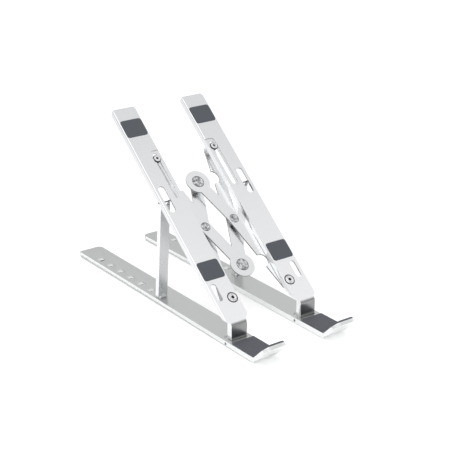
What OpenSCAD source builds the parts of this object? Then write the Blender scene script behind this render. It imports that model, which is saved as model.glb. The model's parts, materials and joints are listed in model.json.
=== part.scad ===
// Folding aluminium laptop stand: two hooked base rails, two slanted arms, two prop legs,
// and a flat lazy-tong linkage that spreads or closes the pair.
// Millimetres. X across, -Y front (hooks), +Y rear, Z up, origin on the table at the middle.

/* [Stand] */
// Slope of the arms above the table, degrees
tilt = 40; // [32:1:42]
// Angle of the long link ends to the arms, degrees
spread = 12.3; // [8:0.1:20]

/* [Base rails] */
// Width of a rail
rail_w = 21.4; // [18:0.2:26]
// Height of a rail's side walls
rail_h = 4.4; // [4.2:0.1:6]
// Sheet thickness of a rail
rail_t = 1.4; // [1:0.1:1.8]
// Length from the hinge pin to the rear end
rail_back = 214; // [170:1:260]
// Length from the hinge pin to the bend of the hook
rail_front = 31.8; // [30:0.2:45]
// Radius of the rail's inner rear corner; the outer one is nearly square
rail_corner = 4; // [2:0.5:6]

/* [Hooks] */
// Slope of the hook's lip, degrees
lip_angle = 45; // [30:1:60]
// Straight length of the lip after its bend
lip_len = 16.8; // [12:0.2:22]
// Thickness of the lip
lip_t = 3; // [2:0.1:3.6]
// Inner radius of the lip's bend
lip_bend = 4; // [2:0.5:6]
// Radius of the lip's rounded corners
lip_corner = 6.5; // [2:0.5:8]
// Thickness of the silicone in the hook
hook_pad_t = 1.2; // [0.8:0.1:2]
// Bare metal left along each edge of the hook pad
hook_pad_edge = 0.7; // [0.4:0.1:2]
// Distance from the hinge pin to the pad's rear edge
hook_pad_start = 7.4; // [6:0.2:12]

/* [Feet] */
// How far the rubber feet stand below the rails
foot_stand = 0.6; // [0.4:0.1:1.5]
// Width of a foot
foot_w = 13; // [8:0.5:15]
// Length of a foot
foot_len = 20; // [12:1:22]
// Distance from the hinge pin forward to a front foot's middle
front_foot_at = 18; // [16:0.5:24]
// Distance from the rail's rear end to a rear foot's middle
rear_foot_at = 14; // [13:0.5:40]

/* [Notches] */
// Number of notches in a rail
notch_count = 7; // [4:1:7]
// Spacing of the notches
notch_pitch = 15.75; // [12:0.25:17]
// Width of a notch
notch_w = 5.6; // [4:0.2:7]
// Length of a notch's opening
notch_open = 3.6; // [3.4:0.1:4.4]
// Length of the ramp behind the opening
notch_ramp = 3.2; // [2:0.2:5]

/* [Arms] */
// Width of an arm
arm_w = 21.4; // [18:0.2:26]
// Length from the hinge pin to the arm's rear end
arm_len = 209; // [190:1:240]
// Sheet thickness of an arm
arm_t = 1.3; // [1:0.1:1.6]
// Depth of an arm's side flanges, sheet included
flange_d = 4.8; // [4.4:0.1:6]
// Radius of the rounded rear corners
arm_corner = 3; // [1:0.5:5]
// Width of the nose that turns down into the rail
nose_w = 14.2; // [12:0.2:16]
// Distance from the nose's front face to the pin
nose_set = 2.85; // [2.6:0.05:3.2]
// Depth of the nose's side flanges, sheet included
nose_d = 5.4; // [5:0.1:6]
// Outer radius of the bend from arm to nose
nose_bend = 4.5; // [3:0.5:6]

/* [Arm details] */
// Length of a rest pad along the arm
pad_l = 16; // [12:0.5:20]
// Bare metal left along each side of a rest pad
pad_edge = 1.25; // [0.8:0.05:3]
// How far a rest pad stands above the arm
pad_proud = 0.6; // [0.4:0.1:1.5]
// Distance from the hinge pin to the upper pad's middle
pad_high = 188.9; // [180:0.5:192]
// Distance from the hinge pin to the lower pad's middle
pad_low = 54.6; // [52:0.2:60]
// Depth of the pocket that the slide screw runs in
pocket_depth = 0.6; // [0.3:0.1:0.8]
// Length of the prop slot
prop_slot_l = 24; // [16:0.5:30]
// Width of the prop slot
prop_slot_w = 5.8; // [4:0.1:6.5]
// Distance from the hinge pin to the front slot's middle
front_slot_at = 35.6; // [34:0.2:38]
// Length of the front slot
front_slot_l = 14.8; // [10:0.2:16]
// Width of the front slot
front_slot_w = 4.6; // [3:0.1:5]

/* [Prop legs] */
// Depth of a prop leg
prop_d = 4.3; // [3.8:0.1:4.6]
// Sheet thickness of a prop leg
prop_t = 1.1; // [0.8:0.1:1.4]
// Distance from the hinge pin to the prop's head along the arm
head_at = 121; // [110:0.5:122]
// Depth of the prop's head axis below the arm's face
head_drop = 3.7; // [3.5:0.1:3.9]
// Distance from the hinge pin to the prop's heel along the rail
heel_at = 96.6; // [90:0.2:98]

/* [Links] */
// Width of a link
link_w = 10.4; // [8:0.2:10.6]
// Thickness of a link
link_t = 1.3; // [1:0.05:1.35]
// Length of a link from its screw to the cross rivet
link_long = 66.2; // [60:0.2:70]
// Length of a link from the cross rivet to the hub
link_short = 41.2; // [36:0.2:46]
// Dog-leg of a link at its cross rivet, degrees
link_bend = 6.8; // [5:0.1:9]
// Radius of the big hub discs
hub_r = 10.3; // [8:0.1:10.6]
// Offset of the link screws from the arm's middle, inwards
screw_in = 5.6; // [5:0.1:6]
// Distance from the hinge pin to the middle of the linkage
link_mid = 93.1; // [90:0.1:98]

/* [Fasteners] */
// Radius of the hinge pins
pin_r = 1.1; // [0.9:0.05:1.3]
// Radius of the link screws' shanks
screw_r = 1.6; // [1.2:0.05:1.8]
// Radius of the fixed screws' heads
front_head_r = 3.9; // [3:0.1:4]
// Radius of the slide screws' heads
slide_head_r = 3; // [2.6:0.1:3.2]
// Radius of the hub rivets' heads
hub_head_r = 5; // [4:0.1:5.2]
// Radius of the cross rivets' heads
cross_head_r = 3.7; // [3:0.1:4]

/* [Clearances] */
// Radial clearance of a turning shaft
run_gap = 0.05; // [0.02:0.01:0.1]
// Clearance beside a sliding piece
slide_gap = 0.2; // [0.1:0.05:0.3]
// Clearance between link layers
layer_gap = 0.2; // [0.15:0.05:0.3]

/* [Hidden] */
$fn = 64;
eps = 0.01;
// widening that makes a link's round ends cross its straight sides
end_grow = 0.1;

// where the hinge pins run, above the underside of the rail's walls
pin_lift = 2;
pin_z = foot_stand + pin_lift;
rail_top = rail_h - pin_lift;
bend_steps = 10;
bulkhead = 2.5;
outer_corner = 1.8;
lip_reach = (lip_t + lip_bend)*sin(lip_angle) + lip_len*cos(lip_angle);
pin_y = (rail_front + lip_reach - rail_back)/2;

// link layers, counted down from the arms; folded flat they just clear the rails
FRONT_R = 1;
REAR_L = 2;
REAR_R = 3;
FRONT_L = 4;
layer_step = link_t + layer_gap;
fold_gap = 0.35;
flange_gap = 0.25;
layer_top = rail_top + fold_gap + 3*layer_step + link_t;
arm_rise = layer_top + flange_gap + flange_d;

// linkage pivots, measured from the middle plane and from the linkage's own middle
hub_y = link_short*cos(spread + link_bend);
cross_x = link_short*sin(spread + link_bend);
screw_x = cross_x + link_long*sin(spread);
screw_y = link_long*cos(spread);
arm_x = screw_x + screw_in;

// half spread of the links when the arms meet, and when the slide screws end their slots
closed_gap = 0.6;
closed_x = arm_w/2 + closed_gap/2 - screw_in;
closed = (closed_x - link_short*sin(link_bend))/(link_long + link_short*cos(link_bend))*180/PI;
widest = 45;
slot_back = link_mid - screw_y + 2*link_long*cos(closed);
slot_front = link_mid - screw_y + 2*link_long*cos(widest);

// rivet and screw details
recess = 0.5;
face_gap = 0.05;
press = 0.02;
cross_shank = 2;
hub_shank = 2.6;
spacer_r = 3.3;
collar_r = hub_head_r + 0.2;
notch_clear = 0.4;
tail_r = 2.7;
washer_t = 0.35;
washer_r = 4.3;
slide_washer_r = 3.3;
counterbore = 0.7;
socket_r = 1.2;

// where the arm's face would meet the nose's face, and the bend between them
nose_corner = (arm_rise*sin(tilt) - nose_set)/cos(tilt);
bend_turn = 90 - tilt;
bend_back = nose_bend*tan(bend_turn/2);
face_start = nose_corner + bend_back;
nose_top = nose_corner*sin(tilt) + arm_rise*cos(tilt) - bend_back;

// rest pads
pad_w = arm_w - 2*pad_edge;
pad_sink = 0.3;

// prop leg: the heel is its rear bottom edge, the head its pivot in the arm
// opening in the rail that the nose turns through
nose_window = 9.8;

prop_side = 0.3;
prop_w = arm_w/2 - arm_t - 2*prop_side;
prop_x = prop_side + prop_w/2;
heel_lift = 0.2;
ear_r = 0.8;
prop_pin_r = 0.55;
flange_rivet_r = 0.75;
tongue_w = notch_w - 1.2;
tongue_out = 1.9;
tongue_t = 0.9;
tongue_lead = 1;
tongue_dip = 1.2;
web_end = 3;
head_in = 3.6;
head_n = arm_rise - head_drop;
head = [head_at*cos(tilt) - head_n*sin(tilt), head_at*sin(tilt) + head_n*cos(tilt)];
heel = [heel_at, rail_top + heel_lift];
prop_span = norm(head - heel);
prop_len = sqrt(prop_span*prop_span - head_in*head_in);
lean = atan2(heel[0] - head[0], head[1] - heel[1]) - asin(head_in/prop_span);

SILVER = [0.86, 0.87, 0.89];
RAIL_GREY = [0.74, 0.75, 0.77];
SLATE = [0.33, 0.35, 0.38];
STEEL = [0.55, 0.55, 0.57];
BLACK = [0.1, 0.1, 0.11];

// ---------- places ----------

// A rail's own frame: the hinge pin's middle is the origin, +X points outwards.
module at_rail(side) {
    mirror([side < 0 ? 1 : 0, 0, 0])
        translate([arm_x, pin_y, pin_z])
            children();
}

// An arm's own frame: the hinge pin's middle is the origin, Y runs up the arm.
module at_arm(side) {
    at_rail(side)
        rotate([tilt, 0, 0])
            children();
}

// The linkage's frame: the middle plane, half way along the linkage, Z at a layer's top.
module at_layer(side, layer) {
    mirror([side < 0 ? 1 : 0, 0, 0])
        translate([0, pin_y, pin_z])
            rotate([tilt, 0, 0])
                translate([0, link_mid, layer_top - (layer - 1)*layer_step])
                    children();
}

// A screw's frame on an arm: rear is 1 for the slide screw and -1 for the fixed one.
module at_screw(side, rear) {
    at_arm(side)
        translate([-screw_in, link_mid + rear*screw_y, arm_rise])
            children();
}

// ---------- outlines ----------

// Plate from the origin along Y, square in front; corner radii rp on +X and rm on -X.
module tongue(w, l, rp, rm) {
    translate([-w/2, 0])
        square([w, l - max(rp, rm)]);
    translate([rm - w/2, 0])
        square([w - rp - rm, l]);
    translate([0, l - max(rp, rm) - 1])
        square([w/2, 1 + max(rp, rm) - rp]);
    translate([-w/2, l - max(rp, rm) - 1])
        square([w/2, 1 + max(rp, rm) - rm]);
    translate([w/2 - rp, l - rp])
        circle(rp);
    translate([rm - w/2, l - rm])
        circle(rm);
}

// The wall of thickness t that stands along the sides and the rear of such a plate.
module tongue_wall(w, l, rp, rm, t) {
    difference() {
        tongue(w, l, rp, rm);
        translate([0, -1])
            tongue(w - 2*t, l - t + 1, rp - t, rm - t);
    }
}

// Rectangle about the origin with four round corners.
module tile(w, l, r) {
    square([w, l - 2*r], center = true);
    square([w - 2*r, l], center = true);
    for (x = [-1, 1], y = [-1, 1])
        translate([x*(w/2 - r), y*(l/2 - r)])
            circle(r);
}

// Slot about the origin, along Y, with round ends.
module slot(w, l) {
    square([w, l - w], center = true);
    for (y = [-1, 1])
        translate([0, y*(l - w)/2])
            circle(w/2);
}

// Bar from point a to point b with round ends.
module bar(a, b, w) {
    d = b - a;
    translate(a)
        rotate(atan2(d[1], d[0]))
            translate([0, -w/2])
                square([norm(d), w]);
    for (p = [a, b])
        translate(p)
            circle(w/2 + end_grow);
}

// Sheet bent about the X axis: inner radius r, from angle a0 (0 is +Y, 90 is +Z) through turn.
module bend(r, t, w, a0, turn) {
    rotate([90, 0, 90])
        rotate([0, 0, a0])
            rotate_extrude(angle = turn)
                translate([r, -w/2])
                    square([t, w]);
}

// Sheet cut across the width: a 2D outline in (Y, Z) extruded along X about x = 0.
module across(w) {
    rotate([90, 0, 90])
        translate([0, 0, -w/2])
            linear_extrude(w)
                children();
}

// ---------- base rails ----------

// Points along the hook from the bend's start to the lip's tip. The depth above the rail's top
// goes from d0 to d1 through the bend and stays at d1 along the lip.
function hook_line(d0, d1) = concat(
    [for (i = [0:bend_steps]) let (a = 270 - lip_angle*i/bend_steps)
        [-rail_front, rail_top + lip_bend]
            + (lip_bend - d0 - (d1 - d0)*i/bend_steps)*[cos(a), sin(a)]],
    [[-rail_front, rail_top + lip_bend]
        + (lip_bend - d1)*[-sin(lip_angle), -cos(lip_angle)]
        + lip_len*[-cos(lip_angle), sin(lip_angle)]]
);

// A layer that follows the hook from y = -start to the tip, with round corners on the lip.
// Its underside goes from depth d0 to d1 through the bend, and its top stays at depth top.
module hook_layer(w, start, d0, d1, top, r) {
    low = concat([[-start, rail_top + d0]], hook_line(d0, d1));
    high = concat([[-start, rail_top + top]], hook_line(top, top));
    difference() {
        across(w)
            polygon(concat(low, [for (i = [len(high) - 1:-1:0]) high[i]]));
        for (s = [-1, 1])
            translate([s*(w/2 - r), -rail_front, rail_top + lip_bend])
                rotate([-lip_angle, 0, 0])
                    translate([0, r - lip_len, -lip_bend - 5])
                        linear_extrude(9)
                            difference() {
                                translate([s*5 - 5, -10])
                                    square(10);
                                circle(r);
                            }
    }
}

module notch() {
    translate([-notch_w/2, 0, rail_top - rail_t - 1])
        cube([notch_w, notch_open, rail_t + 2]);
    translate([0, notch_open - eps, rail_top])
        across(notch_w)
            polygon([[0, 1], [0, -rail_t*0.75], [notch_ramp, 0], [notch_ramp, 1]]);
}

// Where the front end of notch i opens, counted from the front.
function notch_at(i) = heel_at - prop_d - tongue_out - tongue_lead + i*notch_pitch;

module rail() {
    length = rail_back + rail_front;
    difference() {
        union() {
            translate([0, -rail_front, rail_top - rail_t])
                linear_extrude(rail_t)
                    tongue(rail_w, length, outer_corner, rail_corner);
            translate([0, -rail_front, rail_top - rail_h])
                linear_extrude(rail_h - rail_t + eps)
                    tongue_wall(rail_w, length, outer_corner, rail_corner, rail_t);
            hook_layer(rail_w, rail_front - bulkhead, -rail_h, -lip_t, 0, lip_corner);
        }
        translate([-nose_w/2 - 0.4, -nose_set - 0.5, rail_top - rail_t - 1])
            cube([nose_w + 0.8, nose_window, rail_t + 2]);
        rotate([0, 90, 0])
            cylinder(r = pin_r + press, h = rail_w + 2, center = true);
        for (i = [0:notch_count - 1])
            translate([prop_x, notch_at(i), 0])
                notch();
    }
}

module hook_pad() {
    hook_layer(rail_w - 2*hook_pad_edge, hook_pad_start, 0, 0, hook_pad_t,
               lip_corner - hook_pad_edge);
}

module foot() {
    translate([0, 0, -pin_z])
        linear_extrude(rail_top - rail_t + pin_z)
            tile(foot_w, foot_len, 2);
}

module hinge_pin() {
    rotate([0, 90, 0])
        cylinder(r = pin_r, h = rail_w, center = true);
}

// ---------- arms ----------

module arm_face() {
    shoulder = (arm_w - nose_w)/2;
    translate([0, face_start, arm_rise - arm_t])
        linear_extrude(arm_t)
            difference() {
                tongue(arm_w, arm_len - face_start, arm_corner, arm_corner);
                for (s = [-1, 1])
                    translate([s*arm_w/2, 0])
                        rotate(45)
                            square(shoulder*1.27, center = true);
            }
}

module flanges() {
    full = face_start + 13;
    low = arm_rise - flange_d;
    translate([0, full, low])
        linear_extrude(flange_d - arm_t + eps)
            tongue_wall(arm_w, arm_len - full, arm_corner, arm_corner, arm_t);
    // the flanges run out towards the nose
    for (s = [-1, 1])
        translate([s*(arm_w - arm_t)/2, 0, 0])
            across(arm_t)
                polygon([[face_start + 3.6, arm_rise - arm_t + eps],
                         [face_start + 3.6, arm_rise - arm_t - 0.3],
                         [full, low], [full + 1, low], [full + 1, arm_rise - arm_t + eps]]);
}

// The bend and the nose's face, with two side flanges that hang on the hinge pin.
module nose() {
    translate([0, face_start, arm_rise - nose_bend])
        bend(nose_bend - arm_t, arm_t, nose_w, 90, bend_turn);
    rotate([-tilt, 0, 0]) {
        translate([-nose_w/2, -nose_set, 0.5])
            cube([nose_w, arm_t, nose_top - 0.5]);
        for (s = [-1, 1])
            translate([s*(nose_w - arm_t)/2, 0, 0])
                nose_flange();
    }
}

// One side flange of the nose, in the rail's own frame.
module nose_flange() {
    front = -nose_set + eps;
    back = nose_d - nose_set;
    top_n = arm_rise - arm_t/2;
    across(arm_t) {
        polygon([[front, nose_top], [front, 1.2], [-1.9, -0.3], [1.9, -0.3], [back, 1.2],
                 [back, (top_n + back*sin(tilt))/cos(tilt)],
                 [face_start*cos(tilt) - top_n*sin(tilt), face_start*sin(tilt) + top_n*cos(tilt)]]);
        circle(2);
    }
}

module arm() {
    half = arm_w/2;
    slot_mid = (slot_back + slot_front)/2;
    slot_l = slot_back - slot_front;
    pocket_in = half - screw_in + 3.4;
    difference() {
        union() {
            arm_face();
            flanges();
            nose();
        }
        for (y = [pad_high, pad_low])
            translate([0, y, arm_rise - pad_sink])
                linear_extrude(2)
                    tile(pad_w, pad_l, 2);
        // pocket and slot of the slide screw, open to the inner edge
        translate([(pocket_in - 12)/2 - half, slot_mid + 0.5, arm_rise - pocket_depth])
            linear_extrude(2)
                tile(pocket_in + 12, slot_l + 7.8, 3);
        translate([-screw_in, slot_mid, arm_rise - arm_t - 1])
            linear_extrude(arm_t + 2)
                slot(2*(screw_r + slide_gap), slot_l + 2*(screw_r + slide_gap));
        // fixed screw
        translate([-screw_in, link_mid - screw_y, arm_rise - arm_t - 1])
            cylinder(r = screw_r + press, h = arm_t + 2);
        translate([-screw_in, link_mid - screw_y, arm_rise - counterbore])
            cylinder(r = washer_r + 0.1, h = 2);
        // through slots on the outer side
        translate([half - 6.1, head_at, arm_rise - arm_t - 1])
            linear_extrude(arm_t + 2)
                slot(prop_slot_w, prop_slot_l);
        translate([half - 5.9, front_slot_at, arm_rise - arm_t - 1])
            linear_extrude(arm_t + 2)
                slot(front_slot_w, front_slot_l);
        // flange hole of the prop's rivet
        translate([half - arm_t - 1, head_at, head_n])
            rotate([0, 90, 0])
                cylinder(r = flange_rivet_r + press, h = arm_t + 2);
        rotate([0, 90, 0])
            cylinder(r = pin_r + run_gap, h = nose_w + 4, center = true);
    }
}

module rest_pad(y) {
    translate([0, y, arm_rise - pad_sink])
        linear_extrude(pad_sink + pad_proud)
            tile(pad_w, pad_l, 2);
}

module flange_rivet() {
    translate([arm_w/2 - arm_t, head_at, head_n])
        rotate([0, 90, 0])
            cylinder(r = flange_rivet_r, h = arm_t + 0.15);
}

// ---------- prop legs ----------

// A prop's own frame: its heel is the origin and Z runs up the leg.
module at_prop(side) {
    at_rail(side)
        translate([prop_side, heel[0], heel[1]])
            rotate([lean, 0, 0])
                children();
}

module prop_leg() {
    web_foot = 2.2;
    side_cut = [[0, 0.1], [-prop_d + 0.6, 0.4], [-prop_d, 1.2], [-prop_d, prop_len - web_end],
                [-head_in - 0.5, prop_len], [-head_in + 0.6, prop_len],
                [0, prop_len - web_end - 2]];
    difference() {
        union() {
            for (x = [prop_t/2, prop_w - prop_t/2])
                translate([x, 0, 0])
                    across(prop_t) {
                        polygon(side_cut);
                        translate([-head_in, prop_len])
                            circle(ear_r);
                    }
            translate([0.1, -prop_d, web_foot])
                cube([prop_w - 0.2, prop_t, prop_len - web_end - web_foot]);
            // tongue bent out of the web's foot, down into the notch
            translate([prop_w/2, 0, 0])
                across(tongue_w)
                    polygon([[-prop_d, web_foot + 0.8], [-prop_d - tongue_out, 0.9],
                             [-prop_d - tongue_out, -tongue_dip],
                             [tongue_t - prop_d - tongue_out, -tongue_dip],
                             [tongue_t - prop_d - tongue_out, 0.5],
                             [prop_t - prop_d, web_foot + 0.1],
                             [prop_t - prop_d, web_foot + 0.8]]);
        }
        translate([-1, -head_in, prop_len])
            rotate([0, 90, 0])
                cylinder(r = prop_pin_r + press, h = prop_w + 2);
    }
}

module prop_pin() {
    translate([0.1, -head_in, prop_len])
        rotate([0, 90, 0])
            cylinder(r = prop_pin_r, h = prop_w - 0.2);
}

// ---------- linkage ----------

// Outline of a link with its screw to the front: end is the hub end's radius.
module link_outline(end) {
    cross = [cross_x, 0];
    far = [screw_x, -screw_y];
    hub = [0, hub_y];
    along = [sin(spread), -cos(spread)];
    inward = [-cos(spread), -sin(spread)];
    fold = 2*closed + link_bend;
    difference() {
        union() {
            bar(cross, far, link_w);
            bar(cross, hub, link_w);
            translate(hub)
                circle(end);
        }
        translate(cross + link_short*cos(fold)*along + link_short*sin(fold)*inward)
            circle(collar_r + notch_clear);
    }
}

// A link plate below its layer's top. Each list is [cross, hub, screw]; 0 leaves that pocket out.
module link(end, bores, head_pockets, tail_pockets) {
    places = [[cross_x, 0], [0, hub_y], [screw_x, -screw_y]];
    difference() {
        translate([0, 0, -link_t])
            linear_extrude(link_t)
                link_outline(end);
        for (i = [0:2])
            translate([places[i][0], places[i][1], -link_t]) {
                translate([0, 0, -1])
                    cylinder(r = bores[i], h = link_t + 2);
                if (head_pockets[i] > 0)
                    translate([0, 0, link_t - recess])
                        cylinder(r = head_pockets[i] + 0.1, h = 1);
                if (tail_pockets[i] > 0)
                    translate([0, 0, recess - 1])
                        cylinder(r = tail_pockets[i] + 0.1, h = 1);
            }
    }
}

// Dished rivet from the top of one link down through span, ending in a flat tail.
module rivet(head_r, shank_r, span) {
    foot_r = shank_r + 0.9;
    rotate_extrude()
        polygon([[0, -0.12], [head_r*0.3, -0.02], [head_r*0.7, -0.28], [head_r - 0.3, 0],
                 [head_r, -0.1], [head_r, face_gap - recess], [shank_r, face_gap - recess],
                 [shank_r, recess - face_gap - span], [foot_r, recess - face_gap - span],
                 [foot_r, face_gap - span], [0, face_gap - span]]);
}

// Collar that fills the layers between two links, hung from the upper link's top.
module collar(r, bore, layers) {
    tall = layers*layer_step + layer_gap - 2*face_gap;
    translate([0, 0, -link_t - face_gap - tall])
        difference() {
            cylinder(r = r, h = tall);
            translate([0, 0, -1])
                cylinder(r = bore + press, h = tall + 2);
        }
}

// Depth of a layer's top below the arm's face.
function down_to(layer) = arm_rise - layer_top + (layer - 1)*layer_step;

// Flat-headed screw from its seat on the arm down to a flush tail in its link.
module screw(head_r, seat, layer) {
    bottom = -down_to(layer) - link_t;
    difference() {
        rotate_extrude()
            polygon([[0, seat + 0.8], [head_r - 0.3, seat + 0.8], [head_r, seat + 0.5],
                     [head_r, seat], [screw_r, seat], [screw_r, bottom + recess - face_gap],
                     [tail_r, bottom + recess - face_gap], [tail_r, bottom + face_gap],
                     [0, bottom + face_gap]]);
        translate([0, 0, seat + 0.2])
            cylinder(r = socket_r, h = 2, $fn = 6);
    }
}

// Ring from one height to another about a screw.
module ring(r, low, high) {
    translate([0, 0, low])
        difference() {
            cylinder(r = r, h = high - low);
            translate([0, 0, -1])
                cylinder(r = screw_r + press, h = high - low + 2);
        }
}

front_seat = washer_t - counterbore;
slide_seat = face_gap + washer_t - pocket_depth;

module front_screw(side, layer) {
    at_screw(side, -1)
        screw(front_head_r, front_seat, layer);
}

module front_washer(side) {
    at_screw(side, -1)
        ring(washer_r, -counterbore, front_seat);
}

module front_spacer(side, layer) {
    at_screw(side, -1)
        ring(spacer_r, face_gap - down_to(layer), -arm_t);
}

module slide_screw(side, layer) {
    at_screw(side, 1)
        screw(slide_head_r, slide_seat, layer);
}

module slide_washer(side) {
    at_screw(side, 1)
        ring(slide_washer_r, slide_seat - washer_t, slide_seat);
}

module slide_spacer(side, layer) {
    at_screw(side, 1)
        ring(spacer_r, -down_to(layer), -arm_t - face_gap);
}

// Bore radii: a link turns on run_gap or grips at press.
loose_cross = cross_shank + run_gap;
tight_cross = cross_shank + press;
loose_hub = hub_shank + run_gap;
tight_hub = hub_shank + press;
cross_tail = cross_shank + 0.9;
hub_tail = hub_shank + 0.9;

// ---------- nodes ----------

module left_rail() color(RAIL_GREY) at_rail(-1) rail();
module right_rail() color(RAIL_GREY) at_rail(1) rail();

module left_hook_pad() color(SLATE) at_rail(-1) hook_pad();
module right_hook_pad() color(SLATE) at_rail(1) hook_pad();

module left_front_foot() color(BLACK) at_rail(-1) translate([0, -front_foot_at, 0]) foot();
module right_front_foot() color(BLACK) at_rail(1) translate([0, -front_foot_at, 0]) foot();

module left_rear_foot() color(BLACK) at_rail(-1) translate([0, rail_back - rear_foot_at, 0]) foot();
module right_rear_foot() color(BLACK) at_rail(1) translate([0, rail_back - rear_foot_at, 0]) foot();

module left_hinge_pin() color(STEEL) at_rail(-1) hinge_pin();
module right_hinge_pin() color(STEEL) at_rail(1) hinge_pin();

module left_arm() color(SILVER) at_arm(-1) arm();
module right_arm() color(SILVER) at_arm(1) arm();

module left_upper_pad() color(SLATE) at_arm(-1) rest_pad(pad_high);
module right_upper_pad() color(SLATE) at_arm(1) rest_pad(pad_high);

module left_lower_pad() color(SLATE) at_arm(-1) rest_pad(pad_low);
module right_lower_pad() color(SLATE) at_arm(1) rest_pad(pad_low);

module left_flange_rivet() color(STEEL) at_arm(-1) flange_rivet();
module right_flange_rivet() color(STEEL) at_arm(1) flange_rivet();

module left_prop() color(SILVER) at_prop(-1) prop_leg();
module right_prop() color(SILVER) at_prop(1) prop_leg();

module left_prop_pin() color(STEEL) at_prop(-1) prop_pin();
module right_prop_pin() color(STEEL) at_prop(1) prop_pin();

module left_front_link() {
    color(SILVER)
        at_layer(-1, FRONT_L)
            link(6.5, [loose_cross, loose_hub, screw_r + run_gap], [0, 0, 0],
                 [cross_tail, hub_tail, tail_r]);
}

module right_front_link() {
    color(SILVER)
        at_layer(1, FRONT_R)
            link(hub_r, [tight_cross, tight_hub, screw_r + run_gap],
                 [cross_head_r, hub_head_r, 0], [0, 0, tail_r]);
}

module left_rear_link() {
    color(SILVER)
        at_layer(-1, REAR_L)
            mirror([0, 1, 0])
                link(hub_r, [tight_cross, tight_hub, screw_r + press],
                     [cross_head_r, hub_head_r, 0], [0, 0, tail_r]);
}

module right_rear_link() {
    color(SILVER)
        at_layer(1, REAR_R)
            mirror([0, 1, 0])
                link(6.5, [loose_cross, loose_hub, screw_r + press], [0, 0, 0],
                     [cross_tail, hub_tail, tail_r]);
}

module left_cross_rivet() {
    color(STEEL)
        at_layer(-1, REAR_L)
            translate([cross_x, 0, 0])
                rivet(cross_head_r, cross_shank, (FRONT_L - REAR_L)*layer_step + link_t);
}

module right_cross_rivet() {
    color(STEEL)
        at_layer(1, FRONT_R)
            translate([cross_x, 0, 0])
                rivet(cross_head_r, cross_shank, (REAR_R - FRONT_R)*layer_step + link_t);
}

module rear_hub_rivet() {
    color(STEEL)
        at_layer(1, FRONT_R)
            translate([0, hub_y, 0])
                rivet(hub_head_r, hub_shank, (FRONT_L - FRONT_R)*layer_step + link_t);
}

module front_hub_rivet() {
    color(STEEL)
        at_layer(1, REAR_L)
            translate([0, -hub_y, 0])
                rivet(hub_head_r, hub_shank, (REAR_R - REAR_L)*layer_step + link_t);
}

module left_cross_spacer() {
    color(STEEL)
        at_layer(-1, REAR_L)
            translate([cross_x, 0, 0])
                collar(cross_head_r, cross_shank, 1);
}

module right_cross_spacer() {
    color(STEEL)
        at_layer(1, FRONT_R)
            translate([cross_x, 0, 0])
                collar(cross_head_r, cross_shank, 1);
}

module rear_hub_spacer() {
    color(STEEL)
        at_layer(1, FRONT_R)
            translate([0, hub_y, 0])
                collar(collar_r, hub_shank, 2);
}

module left_front_screw() color(STEEL) front_screw(-1, FRONT_L);
module right_front_screw() color(STEEL) front_screw(1, FRONT_R);
module left_front_washer() color(BLACK) front_washer(-1);
module right_front_washer() color(BLACK) front_washer(1);
module left_front_spacer() color(STEEL) front_spacer(-1, FRONT_L);
module right_front_spacer() color(STEEL) front_spacer(1, FRONT_R);
module left_slide_screw() color(STEEL) slide_screw(-1, REAR_L);
module right_slide_screw() color(STEEL) slide_screw(1, REAR_R);
module left_slide_washer() color(BLACK) slide_washer(-1);
module right_slide_washer() color(BLACK) slide_washer(1);
module left_slide_spacer() color(STEEL) slide_spacer(-1, REAR_L);
module right_slide_spacer() color(STEEL) slide_spacer(1, REAR_R);

left_rail();
right_rail();
left_hook_pad();
right_hook_pad();
left_front_foot();
right_front_foot();
left_rear_foot();
right_rear_foot();
left_hinge_pin();
right_hinge_pin();
left_arm();
right_arm();
left_upper_pad();
right_upper_pad();
left_lower_pad();
right_lower_pad();
left_flange_rivet();
right_flange_rivet();
left_prop();
right_prop();
left_prop_pin();
right_prop_pin();
left_front_link();
right_front_link();
left_rear_link();
right_rear_link();
left_cross_rivet();
right_cross_rivet();
rear_hub_rivet();
front_hub_rivet();
left_cross_spacer();
right_cross_spacer();
rear_hub_spacer();
left_front_screw();
right_front_screw();
left_front_washer();
right_front_washer();
left_front_spacer();
right_front_spacer();
left_slide_screw();
right_slide_screw();
left_slide_washer();
right_slide_washer();
left_slide_spacer();
right_slide_spacer();
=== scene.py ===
# %% [markdown]
# # A folding aluminium laptop stand
# The stand is a pair of pressed aluminium arms on notched base rails, joined by four flat links.
# The CAD model gives every size and every pivot, so the first cell loads it with its joints.
# Everything below is worked out from that frame, in metres, with +Z up and the hooks towards -Y.

import json
import math

import bmesh
import bpy
import numpy as np
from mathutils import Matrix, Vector


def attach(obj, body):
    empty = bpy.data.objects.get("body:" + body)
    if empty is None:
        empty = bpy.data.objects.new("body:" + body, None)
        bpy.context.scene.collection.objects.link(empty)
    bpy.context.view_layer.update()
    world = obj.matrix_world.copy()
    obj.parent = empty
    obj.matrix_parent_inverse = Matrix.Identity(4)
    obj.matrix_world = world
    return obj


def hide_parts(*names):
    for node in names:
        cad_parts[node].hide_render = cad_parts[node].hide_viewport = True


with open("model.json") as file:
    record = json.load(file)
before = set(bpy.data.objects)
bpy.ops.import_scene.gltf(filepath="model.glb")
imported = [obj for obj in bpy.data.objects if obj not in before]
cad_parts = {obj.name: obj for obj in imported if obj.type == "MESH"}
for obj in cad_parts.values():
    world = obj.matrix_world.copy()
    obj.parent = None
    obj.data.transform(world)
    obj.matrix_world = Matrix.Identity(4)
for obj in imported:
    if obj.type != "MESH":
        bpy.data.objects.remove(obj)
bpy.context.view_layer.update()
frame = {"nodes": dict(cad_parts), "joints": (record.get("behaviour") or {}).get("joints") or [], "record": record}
nodes = frame["nodes"]
joints = {joint["name"]: joint for joint in frame["joints"]}
MM = 0.001

# %% [markdown]
# ## Two directions that the whole stand follows
# The rails lie flat and the arms slope. Every screw and rivet of the linkage is square to the
# arms, so the slope's normal is read from the hinge axis of the linkage. A node's extent along a
# direction is the least and greatest dot product of its corners with that direction.

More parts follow.
